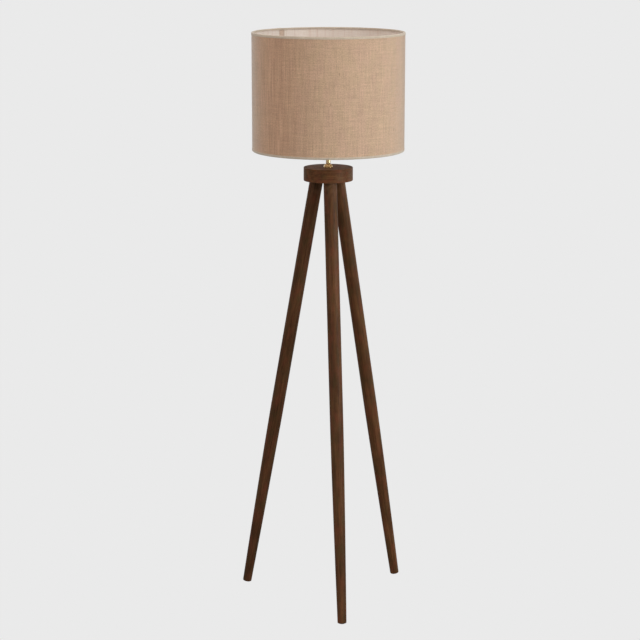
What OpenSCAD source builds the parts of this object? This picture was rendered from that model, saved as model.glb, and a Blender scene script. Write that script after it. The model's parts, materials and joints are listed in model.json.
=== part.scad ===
// Tripod floor lamp: drum shade on a lamp holder, brass neck, round block and three splayed legs.
// Millimetres. The origin is the point on the floor under the lamp's own axis, and +Z is up.
// The front leg points along -Y.

/* [Legs] */
// Height of the block's underside above the floor
stand_h = 1183; // [900:1:1300]
// Lean of each leg from upright, in degrees
leg_tilt = 10.4; // [6:0.1:13]
// Diameter of the legs down to where their taper starts
leg_d = 36.5; // [28:0.5:38]
// Diameter of the legs at the foot
foot_d = 24.5; // [24:0.5:30]
// Share of the leg's length that tapers
taper_share = 0.45; // [0.3:0.05:0.9]
// Distance of the leg axes from the lamp's axis at the block's underside
leg_top_r = 34; // [34:0.5:44]
// Width of the glides
glide_d = 21; // [12:0.5:21]
// Height of the glides below the foot
glide_h = 3; // [2.5:0.1:4]

/* [Block and neck] */
// Diameter of the round block
cap_d = 134; // [128:1:180]
// Thickness of the round block
cap_t = 36; // [34:1:50]
// Diameter of the domed disc on the block
disc_d = 26; // [22:1:40]
// Height of the domed disc
disc_h = 8; // [4:0.5:10]
// Diameter of the neck tube
neck_d = 12.5; // [12:0.1:16]
// Length of the neck tube
neck_len = 23; // [10:1:200]
// Outer diameter of the threaded pipe
pipe_d = 10; // [9.4:0.1:10]
// Inner diameter of the threaded pipe
pipe_bore = 8; // [7.6:0.1:8]
// Diameter of the hole for the cord
cord_hole = 6.4; // [4:0.1:6.4]

/* [Shade] */
// Outer diameter of the shade's cloth
shade_d = 412; // [300:1:500]
// Height of the shade's cloth
shade_h = 317; // [220:1:400]
// How far the fitter sits above the shade's lower edge
fitter_rise = 34; // [24:1:60]
// Height of the tape on the rims
trim_h = 6; // [4:0.5:12]
// Diameter of the wire hoops and arms
wire_d = 4; // [3:0.5:5]

/* [Lamp holder and bulb] */
// Outer diameter of the holder's threaded shell
holder_d = 34; // [34:0.1:36]
// Widest diameter of the bulb
bulb_d = 60; // [50:1:70]
// Pitch of the bulb's thread
bulb_pitch = 3.629; // [3.6:0.001:3.65]
// Diameter of the switch knob
knob_d = 13; // [10:0.5:15]
// Length of the switch knob
knob_len = 14; // [12:0.5:20]

/* [Hidden] */
$fn = 96;

// Colours
walnut = [0.29, 0.19, 0.13];
brass = [0.78, 0.62, 0.34];
steel = [0.62, 0.62, 0.64];
white_paint = [0.9, 0.9, 0.88];
dark_plastic = [0.12, 0.1, 0.09];
linen = [0.76, 0.63, 0.49];
lining = [0.88, 0.82, 0.76];
trim_colour = [0.83, 0.77, 0.68];

// Small gaps
over = 1;               // overshoot of a cutting shape
glue_gap = 0.05;        // between pieces that are stuck or pressed together
thread_gap = 0.08;      // between a thread's crests and what runs on it
rest_gap = 0.2;         // between a piece that turns and what it rests on

// Levels on the lamp's axis, from the floor up
cap_top = stand_h + cap_t;
cup_z = cap_top + disc_h + neck_len;
cup_h = 22;
shell_z = cup_z + 18;
block_z = cup_z + 20;
block_h = 21;
seat_z = cup_z + 46;
seat_t = 3;
fitter_z = seat_z + seat_t + rest_gap;
fitter_t = 1.6;
washer_z = fitter_z + fitter_t + rest_gap;
washer_t = 0.8;
ring_z = washer_z + washer_t + rest_gap;
ring_h = 5;
shell_top = cup_z + 72;
screw_shell_z = block_z + block_h + 1;
screw_shell_h = 24;
bulb_z = screw_shell_z + 3;
shade_z = fitter_z - fitter_rise;
shade_top = shade_z + shade_h;

// Legs, and the hardware that joins them to the block and the glides
leg_dirs = [-90, 30, 150];
foot_axis_r = leg_top_r + stand_h * tan(leg_tilt);
glide_sphere_r = (glide_d * glide_d / 4 + glide_h * glide_h) / (2 * glide_h);
glide_flat = 0.4;       // depth of the flat that the dome rests on
foot_z = (glide_sphere_r - glide_flat) - (glide_sphere_r - glide_h) * cos(leg_tilt);
foot_r = foot_axis_r - foot_z * tan(leg_tilt);
leg_len = (stand_h - foot_z) / cos(leg_tilt);
taper_len = leg_len * taper_share;
taper_curve = 1.35;     // 1 is a straight taper, and more keeps the leg full for longer
leg_edge = 1.6;         // rounding of the foot's edge
bolt_r = 3.9;
bolt_in_leg = 42;
bolt_point = 8;
insert_r = 5.6;
insert_l = 20;
insert_sink = 2;        // how far the insert sits above the block's underside
nail_r = 1.2;
nail_len = 16;          // in the leg
nail_point = 3;
nail_drop = glide_h / 3; // how far the nail's head reaches down into the glide

// Block, pipe and what is clamped on the pipe
cap_edge = 1.5;         // rounding of the block's edges
pipe_below = 19;        // how far the pipe reaches below the block
pipe_in_cup = 12;       // how far it reaches into the holder's cup
neck_bore_r = pipe_d / 2 + 0.3;
disc_lip = 1.2;         // height of the disc's straight edge
disc_collar = 1.4;      // width of the flat round the tube on top of the disc
washer_r = 10;
lock_washer_r = 8.4;
lock_slit = 1.4;
pipe_washer_h = 1.5;
nut_h = 5;
nut_flats = 17;
nut_chamfer = 1;
bushing_r = 6.5;
bushing_flange = 2.2;
bushing_sleeve = 8;

// Lamp holder
shell_r = holder_d / 2 - 1.2;
thread_r = holder_d / 2;
thread_depth = 0.6;
ring_pitch = 2.5;
ring_w = 5;             // how far the rings stand out from the thread
shell_t = 0.6;
sleeve_t = 0.5;
cup_t = 0.8;
hub_r = 7.2;
hub_h = 7;
cup_curve = 6;          // radius of the cup's shoulder
block_r = shell_r - shell_t - sleeve_t - 0.4;
block_edge = 1;

// Small slotted screws: the cup's and the two terminals'
screw_r = 1.5;
screw_head_r = 2.6;
screw_head_h = 1.7;
screw_slot_w = 0.6;
screw_slot_h = 0.8;
terminal_z = block_z + 9;
terminal_y = block_r - 2.6; // floor of the pocket that the head sits in
terminal_pocket = 9;
terminal_len = 4;

// Switch
knob_z = block_z + 9;
knob_reach = thread_r + 5;
knob_base = 2.5;        // height of the knob's cone under its flutes
knob_edge = 2;
knob_bore_h = 10;
knob_flutes = 10;
flute_r = 1.3;
shaft_r = 2;
shaft_flat = 1.2;       // distance of the shaft's flat from its axis
shaft_start = 4;
shaft_in_knob = 9;
shaft_hole_r = 3.6;     // in the shell and the sleeve

// Rings on the holder's thread
grips = 24;
grip_r = 1.4;

// Bulb
cap_crest_r = 13;
cap_root_r = 12.2;
tip_r = 4.6;            // radius of the solder tip's dome
insulator_h = 3;
screw_cap_h = 19;
screw_cap_z = bulb_z + 2 + insulator_h;
collar_z = screw_cap_z + screw_cap_h;
collar_h = 32;
collar_foot_r = 13.4;
collar_rim_r = bulb_d / 2 - 6;
globe_z = collar_z + collar_h;
globe_c = globe_z + sqrt(pow(bulb_d / 2, 2) - pow(collar_rim_r, 2));
globe_t = 1.2;

// Shade, from the outside in
cloth_t = 0.8;
liner_t = 0.6;
tape_t = 0.5;
cloth_r = shade_d / 2;
liner_r = cloth_r - cloth_t - glue_gap;
liner_in = liner_r - liner_t;
hoop_r = liner_in - glue_gap - wire_d / 2;
seam_dir = 120;
seam_w = 17;
arm_dirs = [30, 150, 270];
arm_notch = wire_d + 1; // width of the slot in the lower tape where an arm meets the hoop
weld = 0.3;             // how deep an arm's end is sunk into the hoop
fitter_bore = thread_r + 0.6;
fitter_r = fitter_bore + 7;

// Points of an arc round [x, y], from angle a to angle b in n steps
function arc(x, y, r, a, b, n) = [
    for (i = [0 : n]) [x + r * cos(a + (b - a) * i / n), y + r * sin(a + (b - a) * i / n)]
];

// A tube or a washer, standing on z
module tube(r_out, r_in, z, h) {
    translate([0, 0, z])
        difference() {
            cylinder(r = r_out, h = h);
            translate([0, 0, -over]) cylinder(r = r_in, h = h + 2 * over);
        }
}

// Slotted screw with its head resting on the plane z = 0 and its shank below
module slotted_screw(shank) {
    difference() {
        union() {
            translate([0, 0, -shank]) cylinder(r = screw_r, h = shank);
            cylinder(r = screw_head_r, h = screw_head_h);
        }
        translate([-screw_head_r - over, -screw_slot_w / 2, screw_head_h - screw_slot_h])
            cube([2 * (screw_head_r + over), screw_slot_w, screw_slot_h + over]);
    }
}

// Puts its children on one leg's axis, with Z along the leg and the origin on the foot's end
module on_leg(dir) {
    rotate([0, 0, dir])
        translate([foot_r, 0, foot_z])
            rotate([0, -leg_tilt, 0])
                children();
}

// Puts its children on every leg's axis
module on_legs() {
    for (dir = leg_dirs) on_leg(dir) children();
}

// ---- Legs ----

// Radius of the leg at height s above the foot's end
function leg_radius(s) =
    s >= taper_len ? leg_d / 2
    : leg_d / 2 - (leg_d - foot_d) / 2 * pow(1 - s / taper_len, taper_curve);

// Turned leg, cut off level under the block
module leg(dir) {
    steps = 14;
    edge_r = leg_radius(leg_edge);
    side = [for (i = [0 : steps])
        let (s = leg_edge + (taper_len - leg_edge) * i / steps) [leg_radius(s), s]];
    outline = concat(
        [[0, 0]],
        arc(edge_r - leg_edge, leg_edge, leg_edge, -90, -18, 4),
        side,
        [[leg_d / 2, leg_len + leg_d], [0, leg_len + leg_d]]
    );
    color(walnut)
        difference() {
            on_leg(dir) rotate_extrude() polygon(outline);
            translate([-cap_d, -cap_d, stand_h]) cube([2 * cap_d, 2 * cap_d, 3 * leg_d]);
            on_leg(dir) {
                translate([0, 0, leg_len - bolt_in_leg - 2])
                    cylinder(r = bolt_r + glue_gap, h = 3 * bolt_in_leg);
                translate([0, 0, -over])
                    cylinder(r = nail_r + glue_gap, h = over + nail_len + 1);
            }
        }
}

module leg_front() { leg(leg_dirs[0]); }
module leg_right() { leg(leg_dirs[1]); }
module leg_left() { leg(leg_dirs[2]); }

// Hanger bolts: a machine thread in the block's insert, a wood thread with a point in the leg
module leg_bolts() {
    chamfer = 1;
    length = bolt_in_leg + insert_l;
    color(steel)
        on_legs()
            translate([0, 0, leg_len - bolt_in_leg])
                rotate_extrude()
                    polygon([
                        [0, 0], [1, 0], [bolt_r, bolt_point],
                        [bolt_r, length - chamfer], [bolt_r - chamfer, length], [0, length],
                    ]);
}

// Threaded inserts: barbed sleeves pressed into slanted holes in the block
module leg_inserts() {
    barbs = 5;
    pitch = insert_l / barbs;
    root = insert_r - 0.7;
    side = [for (i = [0 : barbs - 1]) each [
        [root, i * pitch], [insert_r, (i + 0.6) * pitch], [root, (i + 0.8) * pitch]
    ]];
    bore = bolt_r + glue_gap;
    color(brass)
        on_legs()
            translate([0, 0, leg_len + insert_sink])
                rotate_extrude()
                    polygon(concat([[bore, 0]], side, [[root, insert_l], [bore, insert_l]]));
}

// Glides: domes with a small flat on the floor
module foot_glides() {
    color([0.2, 0.16, 0.13])
        difference() {
            on_legs()
                difference() {
                    intersection() {
                        translate([0, 0, glide_sphere_r - glide_h]) sphere(r = glide_sphere_r);
                        translate([0, 0, -2 * glide_h])
                            cylinder(r = glide_d / 2, h = 2 * glide_h - glue_gap);
                    }
                    translate([0, 0, -nail_drop]) cylinder(r = nail_r + glue_gap, h = glide_h);
                }
            translate([-2 * foot_r, -2 * foot_r, -10]) cube([4 * foot_r, 4 * foot_r, 10]);
        }
}

// Nails moulded into the glides
module glide_nails() {
    color(steel)
        on_legs()
            rotate_extrude()
                polygon([
                    [0, -nail_drop], [nail_r, -nail_drop], [nail_r, nail_len - nail_point],
                    [0.2, nail_len], [0, nail_len],
                ]);
}

// ---- Block ----

// Round block with rounded edges, a bore for the pipe and slanted holes for the inserts
module cap_block() {
    r = cap_d / 2 - cap_edge;
    outline = concat(
        [[0, 0]],
        arc(r, cap_edge, cap_edge, -90, 0, 6),
        arc(r, cap_t - cap_edge, cap_edge, 0, 90, 6),
        [[0, cap_t]]
    );
    below = 5;
    color(walnut)
        difference() {
            translate([0, 0, stand_h]) rotate_extrude($fn = 180) polygon(outline);
            translate([0, 0, stand_h - over]) cylinder(r = pipe_d / 2 + 0.4, h = cap_t + 2 * over);
            on_legs()
                translate([0, 0, leg_len - below])
                    cylinder(r = insert_r + glue_gap, h = below + 2 * insert_sink + insert_l);
        }
}

// ---- Neck and pipe ----

// Domed disc on the block, with a flat collar round the tube
module neck_disc() {
    steps = 8;
    r = disc_d / 2;
    top_r = neck_d / 2 + disc_collar;
    dome_w = r - disc_lip / 2 - top_r;
    dome = [for (i = [0 : steps])
        let (a = 90 * i / steps)
        [top_r + dome_w * cos(a), disc_lip + (disc_h - disc_lip) * sin(a)]];
    outline = concat([[neck_bore_r, 0], [r, 0], [r, disc_lip]], dome, [[neck_bore_r, disc_h]]);
    color(brass)
        translate([0, 0, cap_top])
            rotate_extrude() polygon(outline);
}

// Tube round the pipe, between the disc and the holder's cup
module neck_tube() {
    color(brass) tube(neck_d / 2, neck_bore_r, cap_top + disc_h, neck_len);
}

// Threaded pipe that holds everything together and carries the cord
module lamp_pipe() {
    bottom = stand_h - pipe_below;
    color(steel) tube(pipe_d / 2, pipe_bore / 2, bottom, cup_z + pipe_in_cup - bottom);
}

// Plain washer under the block
module pipe_washer() {
    color(steel) tube(washer_r, pipe_d / 2 + glue_gap, stand_h - pipe_washer_h, pipe_washer_h);
}

// Split spring washer
module pipe_lock_washer() {
    bottom = stand_h - 2 * pipe_washer_h;
    color(steel)
        difference() {
            tube(lock_washer_r, pipe_d / 2 + glue_gap, bottom, pipe_washer_h);
            translate([0, -lock_slit / 2, bottom - over])
                cube([lock_washer_r + over, lock_slit, pipe_washer_h + 2 * over]);
        }
}

// Hexagon nut with chamfered corners
module pipe_nut() {
    corner_r = nut_flats / sqrt(3);
    face_r = nut_flats / 2;
    color(brass)
        translate([0, 0, stand_h - 2 * pipe_washer_h - nut_h])
            difference() {
                intersection() {
                    cylinder(r = corner_r, h = nut_h, $fn = 6);
                    rotate_extrude()
                        polygon([
                            [0, 0], [face_r, 0], [corner_r + 0.1, nut_chamfer],
                            [corner_r + 0.1, nut_h - nut_chamfer], [face_r, nut_h], [0, nut_h],
                        ]);
                }
                translate([0, 0, -over]) cylinder(r = pipe_d / 2 + glue_gap, h = nut_h + 2 * over);
            }
}

// Flanged bushing in the pipe's lower end
module cord_bushing() {
    length = bushing_flange + bushing_sleeve;
    color([0.1, 0.1, 0.1])
        translate([0, 0, stand_h - pipe_below - bushing_flange])
            difference() {
                union() {
                    cylinder(r = bushing_r, h = bushing_flange);
                    cylinder(r = pipe_bore / 2 - glue_gap, h = length);
                }
                translate([0, 0, -over]) cylinder(r = cord_hole / 2, h = length + 2 * over);
            }
}

// ---- Lamp holder ----

// Sheet-metal cup, screwed on the pipe
module holder_cup() {
    mouth_r = shell_r + glue_gap + cup_t;
    shoulder_r = mouth_r - cup_curve;
    shoulder_z = hub_h + cup_curve;
    bore = pipe_d / 2 + glue_gap;
    floor_t = 2.3;
    outer = concat(
        [[hub_r, 0], [hub_r, hub_h]],
        arc(shoulder_r, shoulder_z, cup_curve, -70, 0, 5),
        [[mouth_r, cup_h]]
    );
    inner = concat(
        [[mouth_r - cup_t, cup_h]],
        arc(shoulder_r, shoulder_z, cup_curve - cup_t, 0, -70, 5),
        [[bore, hub_h + floor_t]]
    );
    color(brass)
        difference() {
            translate([0, 0, cup_z])
                rotate_extrude() polygon(concat([[bore, 0]], outer, inner));
            cup_screw_place()
                translate([0, 0, -hub_r]) cylinder(r = screw_r + glue_gap, h = 2 * hub_r);
        }
}

// Puts its children on the cup screw's axis, with Z pointing outwards and the origin under its head
module cup_screw_place() {
    translate([0, 0, cup_z + hub_h / 2])
        rotate([0, 90, 180])
            translate([0, 0, hub_r + 0.2])
                children();
}

// Set screw in the cup's hub
module cup_screw() {
    color(steel) cup_screw_place() slotted_screw(hub_r - pipe_d / 2);
}

// Outer shell, with the ring thread on its upper part and a slot for the switch shaft
module holder_shell() {
    thread_z = seat_z - 2;
    turns = floor((shell_top - 2 - thread_z) / ring_pitch);
    inner_r = shell_r - shell_t;
    thread = [for (i = [0 : turns - 1]) each [
        [thread_r - thread_depth, thread_z + i * ring_pitch],
        [thread_r, thread_z + (i + 0.35) * ring_pitch],
        [thread_r, thread_z + (i + 0.65) * ring_pitch],
        [thread_r - thread_depth, thread_z + (i + 1) * ring_pitch],
    ]];
    outline = concat(
        [[inner_r, shell_z], [shell_r, shell_z], [shell_r, thread_z]],
        thread,
        [[shell_r, shell_top - 1.5], [shell_r, shell_top], [inner_r, shell_top]]
    );
    color(brass)
        difference() {
            rotate_extrude() polygon(outline);
            knob_place() cylinder(r = shaft_hole_r, h = 2 * shell_r);
        }
}

// Cardboard sleeve between the shell and the live parts
module holder_sleeve() {
    outer_r = shell_r - shell_t - glue_gap;
    color([0.75, 0.68, 0.55])
        difference() {
            tube(outer_r, outer_r - sleeve_t, shell_z + 1, shell_top - shell_z - 2);
            knob_place() cylinder(r = shaft_hole_r, h = 2 * shell_r);
        }
}

// Puts its children on the switch's axis, with Z pointing out of the knob
module knob_place() {
    translate([0, 0, knob_z]) rotate([0, 90, 0]) children();
}

// Puts its children on one terminal screw's axis, with Z pointing outwards
module terminal_place(side) {
    translate([0, side * terminal_y, terminal_z]) rotate([side * -90, 0, 0]) children();
}

// Moulded body that carries the contacts and the rotary switch
module switch_block() {
    edge_r = block_r - block_edge;
    half = terminal_pocket / 2;
    color(dark_plastic)
        difference() {
            translate([0, 0, block_z])
                rotate_extrude()
                    polygon([
                        [0, 0], [edge_r, 0], [block_r, block_edge],
                        [block_r, block_h - block_edge], [edge_r, block_h], [0, block_h],
                    ]);
            knob_place()
                translate([0, 0, shaft_start - 1])
                    cylinder(r = shaft_r + thread_gap, h = 2 * block_r);
            for (side = [-1, 1])
                terminal_place(side) {
                    translate([-half, -half, 0]) cube([terminal_pocket, terminal_pocket, block_r]);
                    translate([0, 0, -terminal_len - 1]) cylinder(r = screw_r + glue_gap, h = block_r);
                }
        }
}

// Wire terminals on both sides of the block
module terminal_screws() {
    color(brass)
        for (side = [-1, 1])
            terminal_place(side) slotted_screw(terminal_len);
}

// Radius of the bulb thread's wave at height z: 0 at the root, 1 at the crest
function wave(z) = 0.5 - 0.5 * cos(360 * z / bulb_pitch);

// Threaded contact that the bulb screws into
module screw_shell() {
    wall = 0.4;
    steps = 48;
    crest = cap_crest_r + 0.1;
    swing = cap_crest_r - cap_root_r - 0.2;
    level = [for (i = [0 : steps]) screw_shell_h * i / steps];
    inner = [for (z = level) [crest + swing * wave(z), z]];
    outer = [for (i = [steps : -1 : 0]) [crest + swing * wave(level[i]) + wall, level[i]]];
    floor_r = 8;
    floor_z = -0.9;
    color([0.8, 0.78, 0.7])
        translate([0, 0, screw_shell_z])
            rotate_extrude()
                polygon(concat(
                    [[floor_r, floor_z], [floor_r, floor_z + 0.5]],
                    [[crest - 0.6, floor_z + 0.5], [crest, 0]],
                    [for (i = [1 : steps]) inner[i]],
                    [for (i = [0 : steps - 1]) outer[i]],
                    [[crest + wall, floor_z]]
                ));
}

// Spring tongue under the bulb's tip
module centre_contact() {
    width = 4;
    color(brass)
        translate([0, width / 2, screw_shell_z - 1 + glue_gap])
            rotate([90, 0, 0])
                linear_extrude(height = width)
                    polygon([
                        [-7, 0], [-3.5, 0], [1, 3.1], [4.5, 2.3],
                        [4.6, 3], [1, 3.8], [-3.8, 0.7], [-7, 0.7],
                    ]);
}

// Lower ring, fixed on the thread: the shade's fitter rests on it
module seat_ring() {
    color(brass) tube(thread_r + ring_w, thread_r + glue_gap, seat_z, seat_t);
}

// Shaft of the switch, with a flat where the knob sits
module switch_shaft() {
    color(brass)
        knob_place()
            difference() {
                translate([0, 0, shaft_start])
                    cylinder(r = shaft_r, h = knob_reach + shaft_in_knob - shaft_start);
                translate([shaft_flat, -shaft_r - over, knob_reach])
                    cube([shaft_r, 2 * (shaft_r + over), shaft_in_knob + over]);
            }
}

// Fluted knob on the shaft
module switch_knob() {
    r = knob_d / 2;
    foot_r = r * 0.72;
    outline = concat(
        [[0, 0], [foot_r, 0], [r, knob_base], [r, knob_len - knob_edge]],
        arc(r - knob_edge, knob_len - knob_edge, knob_edge, 0, 90, 4),
        [[0, knob_len]]
    );
    color(dark_plastic)
        knob_place()
            translate([0, 0, knob_reach])
                difference() {
                    rotate_extrude() polygon(outline);
                    translate([0, 0, -over])
                        difference() {
                            cylinder(r = shaft_r + glue_gap, h = over + knob_bore_h);
                            translate([shaft_flat + glue_gap, -shaft_r - over, 0])
                                cube([shaft_r, 2 * (shaft_r + over), 2 * knob_bore_h]);
                        }
                    for (i = [0 : knob_flutes - 1])
                        rotate([0, 0, 360 * i / knob_flutes])
                            translate([r + 0.5, 0, knob_base])
                                cylinder(r = flute_r, h = knob_len, $fn = 24);
                }
}

// ---- Shade ring ----

// Fibre washer between the fitter and the ring
module ring_washer() {
    color([0.55, 0.36, 0.22]) tube(thread_r + ring_w - 0.5, thread_r + 0.3, washer_z, washer_t);
}

// Knurled ring that clamps the shade's fitter
module shade_ring() {
    rim = thread_r + ring_w;
    color(brass)
        difference() {
            tube(rim, thread_r + thread_gap, ring_z, ring_h);
            for (i = [0 : grips - 1])
                rotate([0, 0, 360 * i / grips])
                    translate([rim + grip_r / 2, 0, ring_z - over])
                        cylinder(r = grip_r, h = ring_h + 2 * over, $fn = 24);
        }
}

// ---- Bulb ----

// Solder tip
module bulb_contact() {
    color(steel)
        translate([0, 0, bulb_z])
            rotate_extrude()
                polygon(concat(arc(0, tip_r, tip_r, -90, -35, 6), [[0, tip_r - tip_r * sin(35)]]));
}

// Black glass cone round the tip
module bulb_insulator() {
    h = insulator_h - 2 * glue_gap;
    color([0.08, 0.08, 0.09])
        translate([0, 0, screw_cap_z - insulator_h + glue_gap])
            cylinder(r1 = 5, r2 = 10.4, h = h);
}

// Metal screw cap, with the thread as rings
module bulb_screw_cap() {
    steps = 36;
    turns = 3.5;
    thread_h = turns * bulb_pitch;
    start = 2;
    top = screw_cap_h - glue_gap;
    side = [for (i = [0 : steps])
        let (z = thread_h * i / steps)
        [cap_root_r + (cap_crest_r - cap_root_r) * wave(z), start + z]];
    color([0.75, 0.75, 0.76])
        translate([0, 0, screw_cap_z])
            rotate_extrude()
                polygon(concat(
                    [[0, 0], [10.6, 0], [cap_root_r, start - 0.3]],
                    side,
                    [[cap_crest_r, start + thread_h + 0.8], [cap_crest_r, top], [0, top]]
                ));
}

// Plastic housing of the driver, from the screw cap up to the globe
module bulb_collar() {
    steps = 10;
    flare = 1.35;
    straight = 1;
    side = [for (i = [0 : steps])
        let (t = i / steps, r = collar_foot_r + (collar_rim_r - collar_foot_r) * pow(t, flare))
        [r, straight + (collar_h - straight) * t]];
    color(white_paint)
        translate([0, 0, collar_z])
            rotate_extrude() polygon(concat([[0, 0], [collar_foot_r, 0]], side, [[0, collar_h]]));
}

// Frosted globe
module bulb_globe() {
    color([0.97, 0.96, 0.93])
        difference() {
            translate([0, 0, globe_c]) sphere(r = bulb_d / 2);
            translate([0, 0, globe_c]) sphere(r = bulb_d / 2 - globe_t);
            translate([0, 0, globe_z + glue_gap - bulb_d]) cylinder(r = bulb_d, h = bulb_d);
        }
}

// ---- Shade ----

// Cloth of the shade
module shade_fabric() {
    color(linen)
        rotate_extrude($fn = 180)
            translate([cloth_r - cloth_t, shade_z]) square([cloth_t, shade_h]);
}

// Stiff lining that the cloth is glued to
module shade_liner() {
    color(lining)
        rotate_extrude($fn = 180)
            translate([liner_in, shade_z]) square([liner_t, shade_h]);
}

// Overlap tape on the liner's inside, between the hoops
module shade_seam_tape() {
    sweep = 360 * seam_w / (2 * PI * liner_in);
    margin = wire_d + 1;
    color([0.72, 0.6, 0.5])
        rotate([0, 0, seam_dir - sweep / 2])
            rotate_extrude(angle = sweep, $fn = 180)
                translate([liner_in - glue_gap - tape_t, shade_z + margin])
                    square([tape_t, shade_h - 2 * margin]);
}

// Tape folded over a rim: up the outside, over the edge and round the hoop.
// It is drawn for the lower rim, with z up from the rim's edge.
module trim_outline() {
    gap = glue_gap;
    inner_leg = hoop_r - wire_d / 2 - gap;
    polygon([
        [cloth_r + gap, trim_h], [cloth_r + gap, -gap], [inner_leg, -gap], [inner_leg, wire_d],
        [inner_leg - tape_t, wire_d], [inner_leg - tape_t, -gap - tape_t],
        [cloth_r + gap + tape_t, -gap - tape_t], [cloth_r + gap + tape_t, trim_h],
    ]);
}

// The lower tape is slotted where the arms meet the hoop
module shade_bottom_trim() {
    color(trim_colour)
        difference() {
            translate([0, 0, shade_z]) rotate_extrude($fn = 180) trim_outline();
            for (dir = arm_dirs)
                rotate([0, 0, dir])
                    translate([hoop_r - wire_d, -arm_notch / 2, shade_z])
                        cube([wire_d, arm_notch, wire_d + over]);
        }
}

// The upper tape is whole
module shade_top_trim() {
    color(trim_colour)
        translate([0, 0, shade_top]) mirror([0, 0, 1]) rotate_extrude($fn = 180) trim_outline();
}

// Wire hoop inside a rim
module hoop(z) {
    color(white_paint)
        rotate_extrude($fn = 180)
            translate([hoop_r, z]) circle(d = wire_d, $fn = 32);
}

module shade_bottom_wire() { hoop(shade_z + wire_d / 2 + glue_gap); }
module shade_top_wire() { hoop(shade_top - wire_d / 2 - glue_gap); }

// Flat ring that is clamped on the lamp holder
module shade_fitter_ring() {
    color(white_paint) tube(fitter_r, fitter_bore, fitter_z, fitter_t);
}

// Three straight arms, welded to the fitter ring and the lower hoop
module shade_arms() {
    inner_r = fitter_r - 2 * weld;
    inner_z = fitter_z + fitter_t / 2;
    outer_z = shade_z + wire_d / 2 + glue_gap;
    run = hoop_r - wire_d / 2 + weld - inner_r;
    drop = inner_z - outer_z;
    length = sqrt(run * run + drop * drop);
    color(white_paint)
        for (dir = arm_dirs)
            rotate([0, 0, dir])
                translate([inner_r, 0, inner_z])
                    rotate([0, 90 + atan(drop / run), 0])
                        cylinder(d = wire_d, h = length, $fn = 32);
}

cap_block();
leg_front();
leg_right();
leg_left();
leg_bolts();
leg_inserts();
foot_glides();
glide_nails();
neck_disc();
neck_tube();
lamp_pipe();
pipe_washer();
pipe_lock_washer();
pipe_nut();
cord_bushing();
holder_cup();
cup_screw();
holder_shell();
holder_sleeve();
switch_block();
terminal_screws();
screw_shell();
centre_contact();
seat_ring();
switch_shaft();
switch_knob();
ring_washer();
shade_ring();
bulb_contact();
bulb_insulator();
bulb_screw_cap();
bulb_collar();
bulb_globe();
shade_fabric();
shade_liner();
shade_seam_tape();
shade_top_trim();
shade_bottom_trim();
shade_top_wire();
shade_bottom_wire();
shade_fitter_ring();
shade_arms();
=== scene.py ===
"""Looks of the tripod floor lamp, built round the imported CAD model.

Metres, +Z up, origin on the floor under the lamp's axis."""

import json
import math
from math import cos, exp, radians, sin

import bmesh
import bpy
from mathutils import Matrix, Vector, noise


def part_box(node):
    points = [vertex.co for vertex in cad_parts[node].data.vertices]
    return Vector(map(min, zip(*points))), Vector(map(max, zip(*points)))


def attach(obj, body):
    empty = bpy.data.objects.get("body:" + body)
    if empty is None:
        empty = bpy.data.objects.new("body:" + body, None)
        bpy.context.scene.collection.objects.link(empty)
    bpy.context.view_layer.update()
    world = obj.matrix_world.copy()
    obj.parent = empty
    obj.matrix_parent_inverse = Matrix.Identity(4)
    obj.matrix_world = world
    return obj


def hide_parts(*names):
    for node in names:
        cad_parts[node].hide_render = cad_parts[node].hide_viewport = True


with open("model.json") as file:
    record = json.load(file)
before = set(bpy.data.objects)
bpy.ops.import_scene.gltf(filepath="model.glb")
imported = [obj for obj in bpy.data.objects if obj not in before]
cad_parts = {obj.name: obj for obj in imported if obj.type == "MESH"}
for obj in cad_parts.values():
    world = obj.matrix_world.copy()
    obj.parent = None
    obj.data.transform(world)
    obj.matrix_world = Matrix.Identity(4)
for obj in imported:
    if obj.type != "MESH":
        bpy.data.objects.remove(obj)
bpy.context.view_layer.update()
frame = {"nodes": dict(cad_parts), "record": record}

MM = 0.001
TURN = 2 * math.pi
SCENE = bpy.context.scene
RECORD = frame["record"]
BODY_OF = {n: body for body, members in RECORD["behaviour"]["bodies"].items() for n in members}
SLOT_OF = {part["node"]: part["material_slot"] for part in RECORD["subparts"]}

# ---- Sizes that the CAD's boxes don't give ----

LEG_TILT = radians(10.4)
LEG_DIRS = {"leg_front": -90, "leg_right": 30, "leg_left": 150}
# Painted light and shade: one brightness factor for each wooden piece, for how lit it is. The shaded left
# leg is darkest and the block is lightest.
PAINTED_LIGHT_TONES = {"leg_front": 0.88, "leg_right": 0.96, "leg_left": 0.73, "cap_block": 1.25}
LEG_TAPER_SHARE = 0.45      # share of the leg's length that tapers
LEG_TAPER_CURVE = 1.35      # 1 is a straight taper, and more keeps the leg full for longer
FOOT_R = 12.25 * MM
GLIDE_R = 10.5 * MM
GLIDE_H = 3 * MM

PIPE_R = 5 * MM
PIPE_BORE_R = 4 * MM
PIPE_PITCH = 1 * MM
NUT_FLATS = 17 * MM
CORD_HOLE_R = 3.2 * MM

RING_PITCH = 2.5 * MM       # thread of the rings on the lamp holder
RING_THREAD_H = 0.6 * MM
BULB_PITCH = 3.629 * MM
BULB_ROOT_R = 12.2 * MM

SEAM_DIR = radians(120)     # where the shade's cloth and tapes end
SEAM_TAPE_W = 17 * MM
CLOTH_OVERLAP = 15 * MM
TAPE_OVERLAP = 12 * MM
CLOTH_T = 0.8 * MM
LINER_T = 0.6 * MM
TAPE_T = 0.5 * MM
YARN_AND_SHADE_BAND_AT = 0.365        # metres round the cloth from its start to a band of darker, redder yarns that is also painted shade on the side the key light misses
YARN_AND_SHADE_BAND_W = 0.085
HOOP_WIRE_R = 2 * MM
RIM_ROLL = 1.4 * MM         # how far the tape rolls past the ends of the cloth and its lining
ARM_DIRS = [30, 150, 270]
ARM_NOTCH = 5.5 * MM

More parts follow.
